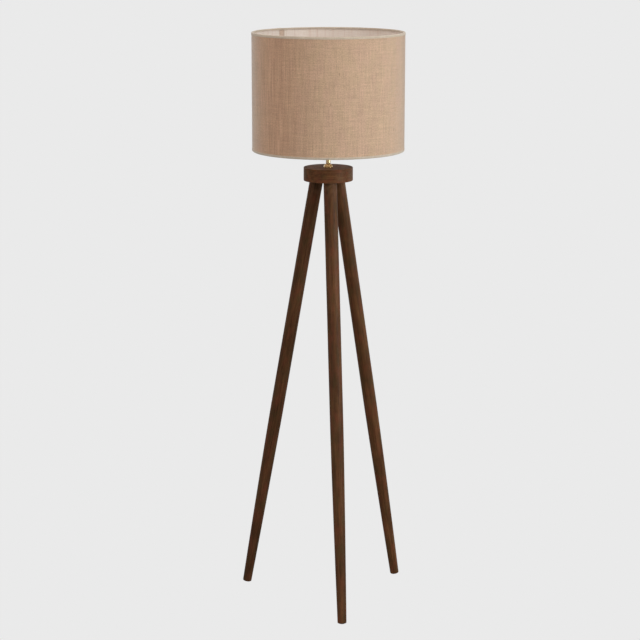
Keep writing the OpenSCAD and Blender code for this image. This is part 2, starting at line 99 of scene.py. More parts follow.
# The camera's azimuth and drop are the viewing angle
VIEW_AZIMUTH = radians(-8.63)
VIEW_DROP = radians(12.3)
CAMERA_DISTANCE = 5.148
CAMERA_HEIGHT = 1.916
CAMERA_SIDE = -0.0224
CAMERA_LENS = 107.25
BACKDROP = (0.823, 0.823, 0.823, 1.0)   # linear colour of the floor and of what lies beyond it
AMBIENT_LOW = 0.04          # strength of the light that comes from straight below
AMBIENT_TOP = 0.84          # and from straight above

# ---- Sizes worked out from the CAD's boxes ----

leg_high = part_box("leg_front")[1]
stand_h = leg_high.z
leg_r = leg_high.x
foot_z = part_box("foot_glides")[1].z - GLIDE_R * sin(LEG_TILT)
leg_top_r = leg_r / cos(LEG_TILT) - leg_high.y
foot_axis_r = leg_top_r + (stand_h - foot_z) * math.tan(LEG_TILT)
leg_len = (stand_h - foot_z) / cos(LEG_TILT)
switch_z = sum(corner.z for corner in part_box("switch_knob")) / 2
switch_frame = Matrix.Translation((0, 0, switch_z)) @ Matrix.Rotation(radians(90), 4, "Y")
holder_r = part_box("holder_shell")[1].x
liner_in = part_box("shade_liner")[1].x - LINER_T
hoop_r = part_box("shade_top_wire")[1].x - HOOP_WIRE_R


# ---- Mesh helpers ----

def ease(t):
    """A smooth step from 0 to 1."""
    t = min(1.0, max(0.0, t))
    return t * t * (3 - 2 * t)


def rounded(corners, steps=4):
    """An outline from (r, z) or (r, z, rounding) corners, with each rounding as a short curve."""
    line = []
    count = len(corners)
    for i, corner in enumerate(corners):
        here = Vector(corner[:2])
        size = corner[2] if len(corner) > 2 else 0
        if not size:
            line.append(here)
            continue
        to_last = Vector(corners[i - 1][:2]) - here
        to_next = Vector(corners[(i + 1) % count][:2]) - here
        start = here + to_last.normalized() * min(size, to_last.length / 2)
        end = here + to_next.normalized() * min(size, to_next.length / 2)
        for k in range(steps + 1):
            t = k / steps
            line.append(start * (1 - t) ** 2 + here * 2 * t * (1 - t) + end * t * t)
    return [(p.x, p.y) for p in line]


def ring_outline(node, bore, *sizes, outer=None, steps=4):
    """A ring's section: its CAD node's height and radius, with a rounding in mm at each corner, from
    the bore's lower edge on."""
    low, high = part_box(node)
    outer = outer or high.x
    corners = [(bore, low.z), (outer, low.z), (outer, high.z), (bore, high.z)]
    return rounded([(r, z, size * MM) for (r, z), size in zip(corners, sizes)], steps)


def levels(z0, z1, step):
    """Evenly spaced heights from z0 to z1, about step apart."""
    count = max(1, math.ceil(abs(z1 - z0) / step))
    return [z0 + (z1 - z0) * i / count for i in range(count + 1)]


def lathe(outline, segments=96, shape=None):
    """A solid turned about Z. The outline is a loop of (r, z) that starts off the axis, or an open line
    that starts and ends on it. shape(angle, r, z) may return another (r, z) for each point."""
    bm = bmesh.new()
    rows = []
    on_axis = 1e-7
    for r, z in outline:
        if r < on_axis:
            rows.append([bm.verts.new((0, 0, z))])
            continue
        row = []
        for k in range(segments):
            angle = TURN * k / segments
            rr, zz = shape(angle, r, z) if shape else (r, z)
            row.append(bm.verts.new((rr * cos(angle), rr * sin(angle), zz)))
        rows.append(row)
    closing = rows[:1] if outline[0][0] > on_axis else []
    for low, high in zip(rows, rows[1:] + closing):
        for k in range(segments):
            n = (k + 1) % segments
            if len(low) == 1 and len(high) == 1:
                continue
            if len(low) == 1:
                bm.faces.new((low[0], high[n], high[k]))
            elif len(high) == 1:
                bm.faces.new((low[k], low[n], high[0]))
            else:
                bm.faces.new((low[k], low[n], high[n], high[k]))
    bmesh.ops.recalc_face_normals(bm, faces=bm.faces)
    return bm


def skinned(bm, rings):
    """The mesh with each ring of vertices joined to the next one and its two ends closed."""
    count = len(rings[0])
    for low, high in zip(rings, rings[1:]):
        for k in range(count):
            n = (k + 1) % count
            bm.faces.new((low[k], low[n], high[n], high[k]))
    bm.faces.new(rings[0])
    bm.faces.new(rings[-1])
    bmesh.ops.recalc_face_normals(bm, faces=bm.faces)
    return bm


def tube_along(points, radii, sides=48):
    """A round bar through the points with a radius at each, closed by flat ends."""
    bm = bmesh.new()
    rings = []
    for i, (point, radius) in enumerate(zip(points, radii)):
        ahead = points[min(i + 1, len(points) - 1)] - points[max(i - 1, 0)]
        side = ahead.cross(Vector((0, 0, 1))).normalized()
        up = side.cross(ahead).normalized()
        rings.append([
            bm.verts.new(point + (side * cos(a) + up * sin(a)) * radius)
            for a in (TURN * k / sides for k in range(sides))
        ])
    return skinned(bm, rings)


def swept(section, start, sweep, steps):
    """A closed section of (r, z) points swept part of the way round Z, with flat ends."""
    bm = bmesh.new()
    rings = []
    for k in range(steps + 1):
        angle = start + sweep * k / steps
        rings.append([bm.verts.new((r * cos(angle), r * sin(angle), z)) for r, z in section])
    return skinned(bm, rings)


def merged(meshes):
    """Several bmeshes as one."""
    whole = bmesh.new()
    for bm in meshes:
        part = bpy.data.meshes.new("part")
        bm.to_mesh(part)
        bm.free()
        whole.from_mesh(part)
        bpy.data.meshes.remove(part)
    return whole


def mark_edges(mesh):
    """Gives each vertex an edge value from 0, on smooth ground, to 1, on a convex edge, for wear."""
    bm = bmesh.new()
    bm.from_mesh(mesh)
    smooth, sharp = radians(7), radians(20)
    wear = [0.0] * len(bm.verts)
    for edge in bm.edges:
        if not edge.is_manifold:
            continue
        angle = edge.calc_face_angle_signed(0.0)
        amount = min(1.0, max(0.0, (angle - smooth) / (sharp - smooth)))
        for vert in edge.verts:
            wear[vert.index] = max(wear[vert.index], amount)
    bm.free()
    mesh.attributes.new("edge", "FLOAT", "POINT").data.foreach_set("value", wear)


def store_timber(mesh, timber, tone):
    """Keeps each vertex's place in the timber, in metres, and the piece's painted light and shade: one
    brightness factor for how lit the whole piece is.
    """
    flat = [x for vert in mesh.vertices for x in timber @ vert.co]
    mesh.attributes.new("grain", "FLOAT_VECTOR", "POINT").data.foreach_set("vector", flat)
    mesh.attributes.new("painted_light", "FLOAT", "POINT").data.foreach_set("value", [tone] * len(mesh.vertices))


def as_object(bm, name):
    """The bmesh as an object in the scene."""
    mesh = bpy.data.meshes.new(name)
    bm.to_mesh(mesh)
    bm.free()
    made = bpy.data.objects.new(name, mesh)
    SCENE.collection.objects.link(made)
    return made


def dress(node, bm, place=Matrix(), timber=None):
    """Makes the mesh the piece that stands for a CAD node: same body, same slot, its slot's material."""
    piece = as_object(bm, node + "_fine")
    mesh = piece.data
    if timber is not None:
        store_timber(mesh, timber, PAINTED_LIGHT_TONES[node])
    mark_edges(mesh)
    mesh.transform(place)
    mesh.shade_smooth()
    mesh.set_sharp_from_angle(angle=radians(35))
    mesh.materials.append(MATERIALS[SLOT_OF[node]])
    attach(piece, BODY_OF[node])
    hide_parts(node)
    return piece


def make_ring(node, bore, sizes, segments=96, steps=4):
    """A plain ring with the bore and the roundings given."""
    dress(node, lathe(ring_outline(node, bore, *sizes, steps=steps), segments))


def cut(bm, cutters):
    """The mesh with other closed meshes taken out of it."""
    body = as_object(bm, "cut_body")
    tool = as_object(cutters, "cut_tool")
    modifier = body.modifiers.new("cut", "BOOLEAN")
    modifier.operation = "DIFFERENCE"
    modifier.solver = "EXACT"
    modifier.object = tool
    bpy.context.view_layer.update()
    shown = body.evaluated_get(bpy.context.evaluated_depsgraph_get())
    result = bmesh.new()
    result.from_mesh(shown.to_mesh())
    shown.to_mesh_clear()
    for made in (body, tool):
        mesh = made.data
        bpy.data.objects.remove(made)
        bpy.data.meshes.remove(mesh)
    return result


# ---- Material helpers ----

NOISE_MEAN = (0.5, 0.5, 0.5)


class Graph:
    """The nodes of a material or a world, with short ways to add and join them."""

    def __init__(self, owner):
        owner.use_nodes = True
        self.tree = owner.node_tree

    def feed(self, socket, value):
        if isinstance(value, bpy.types.NodeSocket):
            self.tree.links.new(value, socket)
        else:
            socket.default_value = value

    def add(self, kind, inputs=None, **settings):
        """A new node. inputs are its sockets' values or what is joined to them, by name or number."""
        node = self.tree.nodes.new("ShaderNode" + kind)
        for name, value in settings.items():
            setattr(node, name, value)
        for name, value in (inputs or {}).items():
            self.feed(node.inputs[name], value)
        return node

    def place(self):
        """The point in the lamp's own frame."""
        return self.add("TexCoord").outputs["Object"]

    def stored(self, name, output):
        return self.add("Attribute", attribute_name=name).outputs[output]

    def math(self, operation, *values):
        return self.add("Math", dict(enumerate(values)), operation=operation).outputs[0]

    def mul(self, first, second):
        return self.math("MULTIPLY", first, second)

    def plus(self, first, second):
        return self.math("ADD", first, second)

    def minus(self, first, second):
        return self.math("SUBTRACT", first, second)

    def vector(self, operation, *values):
        return self.add("VectorMath", dict(enumerate(values)), operation=operation).outputs[0]

    def parts(self, vector):
        return self.add("SeparateXYZ", {"Vector": vector}).outputs

    def join(self, x, y):
        return self.add("CombineXYZ", {"X": x, "Y": y}).outputs[0]

    def noise(self, place, size, detail=2.0, output="Fac"):
        """Noise with lumps of that size, along all axes or each one. Cloth is thin and needs two sizes."""
        size = (size,) * 3 if isinstance(size, float) else (*size, 1.0)[:3]
        near = self.vector("DIVIDE", place, size)
        made = self.add("TexNoise", {"Vector": near, "Scale": 1.0, "Detail": detail})
        return made.outputs[output]

    def cells(self, place, size):
        """Scattered cells of that size. Its outputs are Distance and Color."""
        near = self.vector("DIVIDE", place, (*size, 1.0)[:3])
        return self.add("TexVoronoi", {"Vector": near, "Scale": 1.0}).outputs

    def span(self, value, low, high, to_low=0.0, to_high=1.0):
        inputs = {"Value": value, "From Min": low, "From Max": high, "To Min": to_low, "To Max": to_high}
        return self.add("MapRange", inputs).outputs[0]

    def blend(self, share, first, second):
        first, second = (c if isinstance(c, bpy.types.NodeSocket) else (*c, 1.0) for c in (first, second))
        return self.add("Mix", {0: share, 6: first, 7: second}, data_type="RGBA").outputs[2]

    def cloudy(self, place, size, detail, low, high):
        """A value that noise of that size moves from low to high."""
        return self.span(self.noise(place, size, detail), 0.3, 0.7, low, high)

    def mottle(self, place, size, detail, first, second):
        """Two colours in soft patches of that size."""
        return self.blend(self.span(self.noise(place, size, detail), 0.35, 0.65), first, second)

    def worn(self, colour, amount, bare):
        """The colour, with some of another one along the piece's edges."""
        return self.blend(self.mul(self.stored("edge", "Fac"), amount), colour, bare)

    def times(self, colour, amount):
        return self.add("VectorMath", {0: colour, "Scale": amount}, operation="SCALE").outputs[0]

    def bump(self, height, depth):
        return self.add("Bump", {"Height": height, "Distance": depth, "Strength": 1.0}).outputs[0]


class Surface(Graph):
    """A new material on the Principled shader, with its constants set on the shader itself."""

    def __init__(self, name, fixed):
        self.material = bpy.data.materials.new(name)
        super().__init__(self.material)
        self.shader = self.tree.nodes["Principled BSDF"]
        for socket, value in fixed.items():
            self.feed(self.shader.inputs[socket], value)

    def finish(self, colour, roughness, normal):
        for name, value in (("Base Color", colour), ("Roughness", roughness), ("Normal", normal)):
            self.tree.links.new(value, self.shader.inputs[name])
        return self.material


# ---- Materials ----

def walnut_wood(name):
    """Straight-grained walnut with a dark stain and a satin lacquer. The grain runs along stored Z."""
    g = Surface(name, {"Specular IOR Level": 0.09})
    grain = g.stored("grain", "Vector")
    drift = g.vector("SUBTRACT", g.noise(grain, (0.05, 0.05, 0.4), 2, "Color"), NOISE_MEAN)
    bent = g.vector("ADD", grain, g.vector("MULTIPLY", drift, (0.012, 0.012, 0.0)))
    x, y = g.parts(bent)[:2]
    pith_x, pith_y, year_width = 0.045, -0.03, 0.0052
    pith = g.math("SQRT", g.plus(g.math("POWER", g.minus(x, pith_x), 2.0),
                                 g.math("POWER", g.minus(y, pith_y), 2.0)))
    late = g.math("POWER", g.math("FRACT", g.math("DIVIDE", pith, year_width)), 3.0)
    broad = g.noise(bent, (0.007, 0.007, 0.11), 3)
    fibre = g.noise(bent, (0.0013, 0.0013, 0.045), 3)
    fine = g.noise(bent, (0.0005, 0.0005, 0.014), 2)
    tone = g.plus(g.span(broad, 0.3, 0.7, 0.0, 0.55), g.span(fibre, 0.3, 0.7, 0.0, 0.45))
    tone = g.minus(tone, g.mul(late, 0.22))
    wood = g.blend(g.span(tone, 0.0, 1.0), (0.054, 0.0200, 0.0074), (0.178, 0.077, 0.031))
    patch = g.noise(grain, (0.018, 0.018, 0.045), 3)
    wood = g.blend(g.span(patch, 0.52, 0.66, 0.0, 0.65), wood, (0.148, 0.046, 0.021))
    wood = g.blend(g.span(patch, 0.36, 0.48, 0.65, 0.0), wood, (0.084, 0.047, 0.017))
    stain = g.noise(grain, (0.05, 0.05, 0.10), 3)
    wood = g.times(wood, g.span(stain, 0.32, 0.68, 0.78, 1.15))
    # Painted light and shade: the whole piece is scaled by its brightness factor for how lit it is.
    wood = g.times(wood, g.stored("painted_light", "Fac"))
    pores = g.span(fine, 0.60, 0.70)
    wood = g.blend(g.mul(pores, 0.6), wood, (0.026, 0.010, 0.005))
    edge = g.stored("edge", "Fac")
    worn = g.mul(edge, g.span(g.noise(grain, 0.012, 4), 0.42, 0.62))
    wood = g.blend(g.mul(worn, 0.35), wood, (0.25, 0.125, 0.065))
    rough = g.plus(g.span(fibre, 0.3, 0.7, 0.38, 0.52), g.mul(pores, 0.15))
    height = g.minus(g.mul(fibre, 0.6), g.mul(pores, 0.5))
    return g.finish(wood, rough, g.bump(height, 0.00025))


def brass(name):
    """Polished brass under clear lacquer, with faint turning marks."""
    g = Surface(name, {"Metallic": 1.0, "Coat Weight": 0.25, "Coat Roughness": 0.12})
    place = g.place()
    colour = g.mottle(place, 0.02, 4, (0.86, 0.63, 0.32), (0.76, 0.54, 0.25))
    spots = g.span(g.noise(place, 0.0022, 3), 0.62, 0.75)
    colour = g.blend(g.mul(spots, 0.35), colour, (0.42, 0.26, 0.11))
    colour = g.worn(colour, 0.3, (0.88, 0.70, 0.42))
    turning = g.noise(place, (0.02, 0.02, 0.00035), 2)
    rough = g.cloudy(place, 0.004, 3, 0.17, 0.33)
    return g.finish(colour, rough, g.bump(turning, 0.00003))


def plated(name, light, dark, low, high):
    """Bright plated sheet or screw metal."""
    g = Surface(name, {"Metallic": 1.0})
    place = g.place()
    colour = g.mottle(place, 0.003, 4, light, dark)
    colour = g.worn(colour, 0.25, (0.8, 0.8, 0.8))
    rough = g.cloudy(place, 0.0012, 3, low, high)
    return g.finish(colour, rough, g.bump(g.noise(place, 0.0004, 2), 0.00001))


def plastic(name, colour, low, high, pebble, shade=0.82):
    """Moulded plastic with a fine texture and slight changes of tone."""
    g = Surface(name, {"Specular IOR Level": 0.45})
    place = g.place()
    dark = tuple(c * shade for c in colour)
    tone = g.mottle(place, 0.008, 3, colour, dark)
    worn = tuple(min(1.0, c * 1.25 + 0.015) for c in colour)
    tone = g.worn(tone, 0.4, worn)
    rough = g.cloudy(place, 0.003, 3, low, high)
    return g.finish(tone, rough, g.bump(g.noise(place, pebble, 2), 0.00002))


def pressed_board(name, light, dark):
    """Fibrous board or vulcanised fibre."""
    g = Surface(name, {"Specular IOR Level": 0.3})
    place = g.place()
    fibre = g.noise(place, (0.0018, 0.0018, 0.0006), 4)
    colour = g.blend(g.span(fibre, 0.35, 0.65), dark, light)
    return g.finish(colour, g.span(fibre, 0.3, 0.7, 0.6, 0.85), g.bump(fibre, 0.00008))


def white_wire(name):
    """White powder coat, with the slight orange peel that it has."""
    g = Surface(name, {"Specular IOR Level": 0.5})
    place = g.place()
    colour = g.mottle(place, 0.03, 3, (0.80, 0.79, 0.75), (0.74, 0.725, 0.68))
    chips = g.mul(g.stored("edge", "Fac"), g.span(g.noise(place, 0.003, 3), 0.6, 0.7))
    colour = g.blend(g.mul(chips, 0.4), colour, (0.5, 0.48, 0.44))
    peel = g.noise(place, 0.0011, 1)
    return g.finish(colour, g.cloudy(place, 0.002, 2, 0.3, 0.45), g.bump(peel, 0.00004))


def bulb_frost(name):
    """The bulb's opal globe: white diffusing plastic that is slightly translucent."""
    depth = (0.004, 0.0036, 0.003)
    fixed = {"Subsurface Weight": 0.35, "Subsurface Radius": depth, "Subsurface Scale": 1.0}
    g = Surface(name, fixed)
    place = g.place()
    colour = g.mottle(place, 0.02, 3, (0.95, 0.945, 0.92), (0.91, 0.90, 0.875))
    rough = g.cloudy(place, 0.0015, 3, 0.28, 0.4)
    return g.finish(colour, rough, g.bump(g.noise(place, 0.0006, 1), 0.000008))


def shade_lining(name):
    """Thin cream backing, through which the weave and the darker yarns of the cloth show faintly."""
    g = Surface(name, {"Specular IOR Level": 0.4})
    around = g.stored("grain", "Vector")
    colour = g.mottle(around, (0.05, 0.07), 3, (0.90, 0.80, 0.725), (0.85, 0.745, 0.665))
    upright = g.noise(around, (0.0022, 0.022), 1)
    level = g.noise(around, (0.022, 0.0022), 1)
    yarns = g.mul(g.plus(upright, level), 0.5)
    colour = g.blend(g.span(yarns, 0.42, 0.62, 0.0, 0.4), colour, (0.79, 0.64, 0.54))
    bars = g.noise(around, (0.0065, 0.8), 1)
    colour = g.blend(g.span(bars, 0.52, 0.72, 0.0, 0.5), colour, (0.73, 0.55, 0.46))
    rough = g.cloudy(around, (0.01, 0.01), 3, 0.42, 0.58)
    return g.finish(colour, rough, g.bump(yarns, 0.00008))


def weave(g, around, pitch_u, pitch_v):
    """A plain weave from a place that runs around and up the cloth, in metres. Returns the height, the
    share of the upright yarns on top, and one steady random tone for the upright and the level yarns."""
    wobble = g.vector("SUBTRACT", g.noise(around, (0.006, 0.011), 2, "Color"), NOISE_MEAN)
    near = g.vector("ADD", around, g.vector("MULTIPLY", wobble, (pitch_u * 0.9, pitch_v * 0.9, 0.0)))
    x, y = g.parts(near)[:2]
    u = g.math("DIVIDE", x, pitch_u)
    v = g.math("DIVIDE", y, pitch_v)
    wave_u = g.math("SINE", g.mul(u, math.pi))
    wave_v = g.math("SINE", g.mul(v, math.pi))
    on_top = g.span(g.mul(wave_u, wave_v), -0.25, 0.25)
    round_u = g.math("ABSOLUTE", wave_u)
    round_v = g.math("ABSOLUTE", wave_v)
    upright = g.mul(round_u, g.span(round_v, 0.0, 1.0, 0.55, 1.0))
    level = g.mul(round_v, g.span(round_u, 0.0, 1.0, 0.55, 1.0))
    height = g.plus(g.mul(on_top, upright), g.mul(g.minus(1.0, on_top), level))
    yarn_u = g.noise(g.join(g.math("FLOOR", u), g.math("DIVIDE", y, 0.05)), (0.61, 1.0, 1.0), 1)
    yarn_v = g.noise(g.join(g.math("DIVIDE", x, 0.05), g.math("FLOOR", v)), (1.0, 0.61, 1.0), 1)
    return height, on_top, yarn_u, yarn_v


def jute_cloth(name):
    """Coarse natural cloth: uneven yarns, upright streaks, slubs and soft changes of colour."""
    sheen = {"Sheen Weight": 0.9, "Sheen Roughness": 0.3, "Sheen Tint": (1.0, 0.98, 0.95, 1.0)}
    g = Surface(name, {"Specular IOR Level": 0.5, **sheen})
    around = g.stored("grain", "Vector")
    height, on_top, yarn_u, yarn_v = weave(g, around, 0.0020, 0.0021)
    tone_u = g.span(yarn_u, 0.25, 0.75, 0.8, 1.18)
    tone_v = g.span(yarn_v, 0.25, 0.75, 0.84, 1.14)
    tone = g.plus(g.mul(on_top, tone_u), g.mul(g.minus(1.0, on_top), tone_v))
    # Real yarn colour and painted shade: a band of darker, redder yarns, with stronger dark streaks, on
    # the side away from the key light.
    yarn_and_shade_band = g.math("DIVIDE", g.minus(g.parts(around)[0], YARN_AND_SHADE_BAND_AT), YARN_AND_SHADE_BAND_W)
    yarn_and_shade_band = g.math("POWER", math.e, g.mul(g.mul(yarn_and_shade_band, yarn_and_shade_band), -1.0))
    threads = g.noise(around, (0.0036, 0.14), 4)
    streak_low = g.span(yarn_and_shade_band, 0.0, 1.0, 0.95, 0.85)
    streak_high = g.span(yarn_and_shade_band, 0.0, 1.0, 1.04, 1.11)
    streak = g.span(threads, 0.3, 0.7, streak_low, streak_high)
    fleck = g.cloudy(around, (0.0026, 0.0038), 2, 0.86, 1.14)
    level_streak = g.cloudy(around, (0.09, 0.004), 2, 0.975, 1.025)
    patch = g.cloudy(around, (0.03, 0.05), 3, 0.97, 1.03)
    # Painted shade: the cloth is darkened in the weave's hollows between yarns.
    gap = g.span(height, 0.15, 0.6, 0.72, 1.0)
    hue = g.span(g.noise(around, (0.028, 0.06), 2), 0.35, 0.65)
    cloth = g.blend(hue, (0.615, 0.398, 0.268), (0.600, 0.404, 0.258))
    red_yarns_and_shade = g.mul(yarn_and_shade_band, g.span(threads, 0.35, 0.65, 1.0, 0.45))
    cloth = g.blend(red_yarns_and_shade, cloth, (0.585, 0.338, 0.212))
    for amount in (tone, streak, level_streak, patch, fleck, gap):
        cloth = g.times(cloth, amount)
    slub = g.cells(around, (0.022, 0.075))
    chosen = g.span(g.parts(slub["Color"])[0], 0.55, 0.6)
    size = g.span(g.parts(slub["Color"])[1], 0.0, 1.0, 0.03, 0.075)
    spot = g.mul(chosen, g.span(g.math("DIVIDE", slub["Distance"], size), 0.6, 1.0, 1.0, 0.0))
    cloth = g.blend(g.mul(spot, 0.55), cloth, (0.20, 0.115, 0.06))
    hair = g.noise(around, (0.0006, 0.0022), 2)
    relief = height
    for part, share in ((hair, 0.35), (yarn_u, 0.8), (spot, 0.8)):
        relief = g.plus(relief, g.mul(part, share))
    return g.finish(cloth, g.span(hair, 0.3, 0.7, 0.58, 0.74), g.bump(relief, 0.0003))


def cotton_tape(name, light, dark):
    """Narrow woven tape, with ribs across it."""
    sheen = {"Sheen Weight": 0.25, "Sheen Roughness": 0.4}
    g = Surface(name, {"Specular IOR Level": 0.2, **sheen})
    around = g.stored("grain", "Vector")
    height, _, yarn_u, yarn_v = weave(g, around, 0.0007, 0.0006)
    colour = g.mottle(around, (0.02, 0.004), 3, light, dark)
    colour = g.times(colour, g.span(yarn_u, 0.25, 0.75, 0.88, 1.1))
    colour = g.times(colour, g.span(yarn_v, 0.25, 0.75, 0.92, 1.06))
    # Painted shade: the tape is darkened in the weave's hollows between yarns.
    colour = g.times(colour, g.span(height, 0.1, 0.6, 0.8, 1.0))
    return g.finish(colour, g.span(height, 0.0, 1.0, 0.92, 0.75), g.bump(height, 0.00012))


MATERIALS = {name: make(name, *look) for name, make, *look in (
    ("walnut_wood", walnut_wood),
    ("brass", brass),
    ("steel", plated, (0.58, 0.58, 0.60), (0.46, 0.46, 0.47), 0.3, 0.45),
    ("glide_nylon", plastic, (0.085, 0.062, 0.048), 0.4, 0.55, 0.0006),
    ("black_plastic", plastic, (0.022, 0.021, 0.020), 0.32, 0.5, 0.0005),
    ("sleeve_board", pressed_board, (0.56, 0.46, 0.31), (0.44, 0.35, 0.22)),
    ("fibre", pressed_board, (0.34, 0.14, 0.07), (0.22, 0.08, 0.04)),
    ("screw_contact", plated, (0.78, 0.75, 0.68), (0.66, 0.62, 0.54), 0.2, 0.35),
    ("bulb_frost", bulb_frost),
    ("bulb_plastic", plastic, (0.88, 0.88, 0.865), 0.28, 0.4, 0.0009, 0.96),
    ("bulb_metal", plated, (0.76, 0.76, 0.77), (0.62, 0.62, 0.63), 0.15, 0.28),
    ("bulb_glass_black", plastic, (0.012, 0.012, 0.016), 0.08, 0.16, 0.002),
    ("jute_cloth", jute_cloth),
    ("shade_lining", shade_lining),
    ("shade_tape", cotton_tape, (0.65, 0.54, 0.43), (0.575, 0.47, 0.365)),
    ("seam_tape", cotton_tape, (0.74, 0.565, 0.45), (0.66, 0.49, 0.38)),
    ("white_wire", white_wire),
)}


# ---- Legs, glides and block ----

def leg_frame(direction):
    """The place of a leg's own frame: Z along the leg, X outwards, origin at the foot's end."""
    turn = Matrix.Rotation(radians(direction), 4, "Z")
    foot = Matrix.Translation((foot_axis_r, 0, foot_z))
    return turn @ foot @ Matrix.Rotation(-LEG_TILT, 4, "Y")


def leg_radius(s):
    """The leg's radius at length s from its foot."""
    taper = leg_len * LEG_TAPER_SHARE
    return leg_r - (leg_r - FOOT_R) * max(0.0, 1 - s / taper) ** LEG_TAPER_CURVE


def make_leg(node, direction, number):
    """A turned leg, eased at the foot and cut off level under the block."""
    ease_r, cut_len, cut_edge, hand_depth = 1.6 * MM, 50 * MM, 0.5 * MM, 0.12 * MM
    top = leg_len - 0.1 * MM
    foot = leg_radius(ease_r)
    outline = rounded([(0, 0), (foot, 0, ease_r), (foot, 3 * ease_r)], steps=5)
    outline += [(leg_radius(s), s) for s in levels(4 * ease_r, leg_len - cut_len, 20 * MM)]
    outline += [(leg_r, top - cut_edge), (leg_r - cut_edge, top), (0, top)]

    def shape(angle, r, z):
        level = ease((z - leg_len + cut_len) / cut_len)
        hand = noise.noise(Vector((cos(angle), sin(angle) + 7 * number, 9 * z)))
        r += hand_depth * hand * ease(z / (20 * MM)) * (1 - level)
        return r, z - level * r * cos(angle) * math.tan(LEG_TILT)

    timber = Matrix.Translation((0.31 * number, 0.17 * number, 0.9 * number))
    timber = timber @ Matrix.Rotation(1.9 * number, 4, "Z")
    dress(node, lathe(outline, 72, shape=shape), leg_frame(direction), timber)


def make_glides():
    """Three nylon domes, each with a small flat on the floor."""
    steps = 10
    dome_r = (GLIDE_R ** 2 + GLIDE_H ** 2) / (2 * GLIDE_H)
    gap = 0.05 * MM
    outline = [(0, -gap), (GLIDE_R - 0.5 * MM, -gap), (GLIDE_R - 0.1 * MM, -0.3 * MM)]
    for i in range(steps + 1):
        r = (GLIDE_R - 0.05 * MM) * (1 - i / steps)
        outline.append((r, dome_r - GLIDE_H - math.sqrt(dome_r ** 2 - r ** 2)))
    domes = []
    for direction in LEG_DIRS.values():
        dome = lathe(outline, 48)
        dome.transform(leg_frame(direction))
        for vert in dome.verts:
            vert.co.z = max(0.0, vert.co.z)
        domes.append(dome)
    dress("foot_glides", merged(domes))


def make_block():
    """The round block that the legs are bolted to, with eased edges and its bore for the pipe."""
    low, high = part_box("cap_block")
    radius, edge, bore = high.x, 1.5 * MM, PIPE_R + 0.4 * MM
    outline = ring_outline("cap_block", bore, 0.4, 1.5, 1.5, 0.4, steps=7)
    rows = levels(low.z + 2 * edge, high.z - 2 * edge, 6 * MM)
    place = next(i for i, p in enumerate(outline) if p[1] > (low.z + high.z) / 2)
    outline[place:place] = [(radius, z) for z in rows]
    timber = Matrix.Translation((0.08, -0.12, -3.0)) @ Matrix.Rotation(radians(90), 4, "Y")
    dress("cap_block", lathe(outline, 160), timber=timber)


# ---- Neck, pipe and what is clamped on it ----

def make_neck():
    """The domed disc and the tube above it."""
    low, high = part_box("neck_disc")
    bore = PIPE_R + 0.3 * MM
    tube_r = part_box("neck_tube")[1].x
    lip = 1.2 * MM
    outline = rounded([
        (bore, low.z), (high.x, low.z, 0.3 * MM), (high.x, low.z + lip, 0.35 * MM),
        (high.x - 0.6 * MM, low.z + lip, 0.3 * MM), (high.x - 2.6 * MM, high.z - 1.6 * MM, 3 * MM),
        (tube_r + 1.4 * MM, high.z, 2 * MM), (bore, high.z),
    ], steps=6)
    dress("neck_disc", lathe(outline, 96))
    make_ring("neck_tube", bore, (0, 0.25, 0.25, 0), 72)


def screw_thread(pitch, root_r, crest_r, z0, z1, sharpness=1.0):
    """A shape() for lathe that cuts a helical thread between two heights and runs it out at both ends."""
    def shape(angle, r, z):
        if r < root_r or z < z0 or z > z1:
            return r, z
        wave = 0.5 - 0.5 * cos(TURN * (z / pitch - angle / TURN))
        wave = min(1.0, max(0.0, 0.5 + (wave - 0.5) * sharpness))
        run = ease((z - z0) / pitch) * ease((z1 - z) / pitch)
        return root_r + (crest_r - root_r) * (1 - run + run * wave), z
    return shape


def make_pipe():
    """The threaded pipe: its thread shows below the block, and the rest is hidden in it."""
    low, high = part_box("lamp_pipe")
    thread_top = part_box("cap_block")[0].z
    inside = [(PIPE_BORE_R, high.z), (PIPE_BORE_R, low.z)]
    outside = [(PIPE_R, z) for z in levels(low.z, thread_top, PIPE_PITCH / 8)] + [(PIPE_R, high.z)]
    thread = screw_thread(PIPE_PITCH, PIPE_R - 0.55 * MM, PIPE_R, low.z, thread_top, 1.2)
    dress("lamp_pipe", lathe(inside + outside, 64, shape=thread))


def make_washers():
    """The plain washer and the split one under it."""
    bore = PIPE_R + 0.05 * MM
    make_ring("pipe_washer", bore, (0, 0.3, 0.2, 0), 72)
    slit = radians(10)
    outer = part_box("pipe_lock_washer")[1].y
    section = ring_outline("pipe_lock_washer", bore, 0.2, 0.2, 0.2, 0.2, outer=outer, steps=2)
    dress("pipe_lock_washer", swept(section, slit / 2, TURN - slit, 72))


def make_nut():
    """The hexagon nut, chamfered on both faces."""
    low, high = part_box("pipe_nut")
    bore = PIPE_R + 0.05 * MM
    apothem, half_side = NUT_FLATS / 2, radians(30)
    corner = apothem / cos(half_side)

    def hexagon(angle, r, z):
        if r < apothem * 0.9:
            return r, z
        off = (angle + half_side) % (2 * half_side) - half_side
        return min(r, apothem / cos(half_side - abs(off))), z

    chamfer = 1.0 * MM
    outline = [
        (bore, low.z + 0.5 * MM), (bore + 0.5 * MM, low.z), (apothem - 0.2 * MM, low.z),
        (apothem + 0.25 * MM, low.z + 0.2 * MM), (corner, low.z + chamfer),
        (corner, high.z - chamfer), (apothem + 0.25 * MM, high.z - 0.2 * MM), (apothem - 0.2 * MM, high.z),
        (bore + 0.5 * MM, high.z), (bore, high.z - 0.5 * MM),
    ]
    dress("pipe_nut", lathe(outline, 144, shape=hexagon))


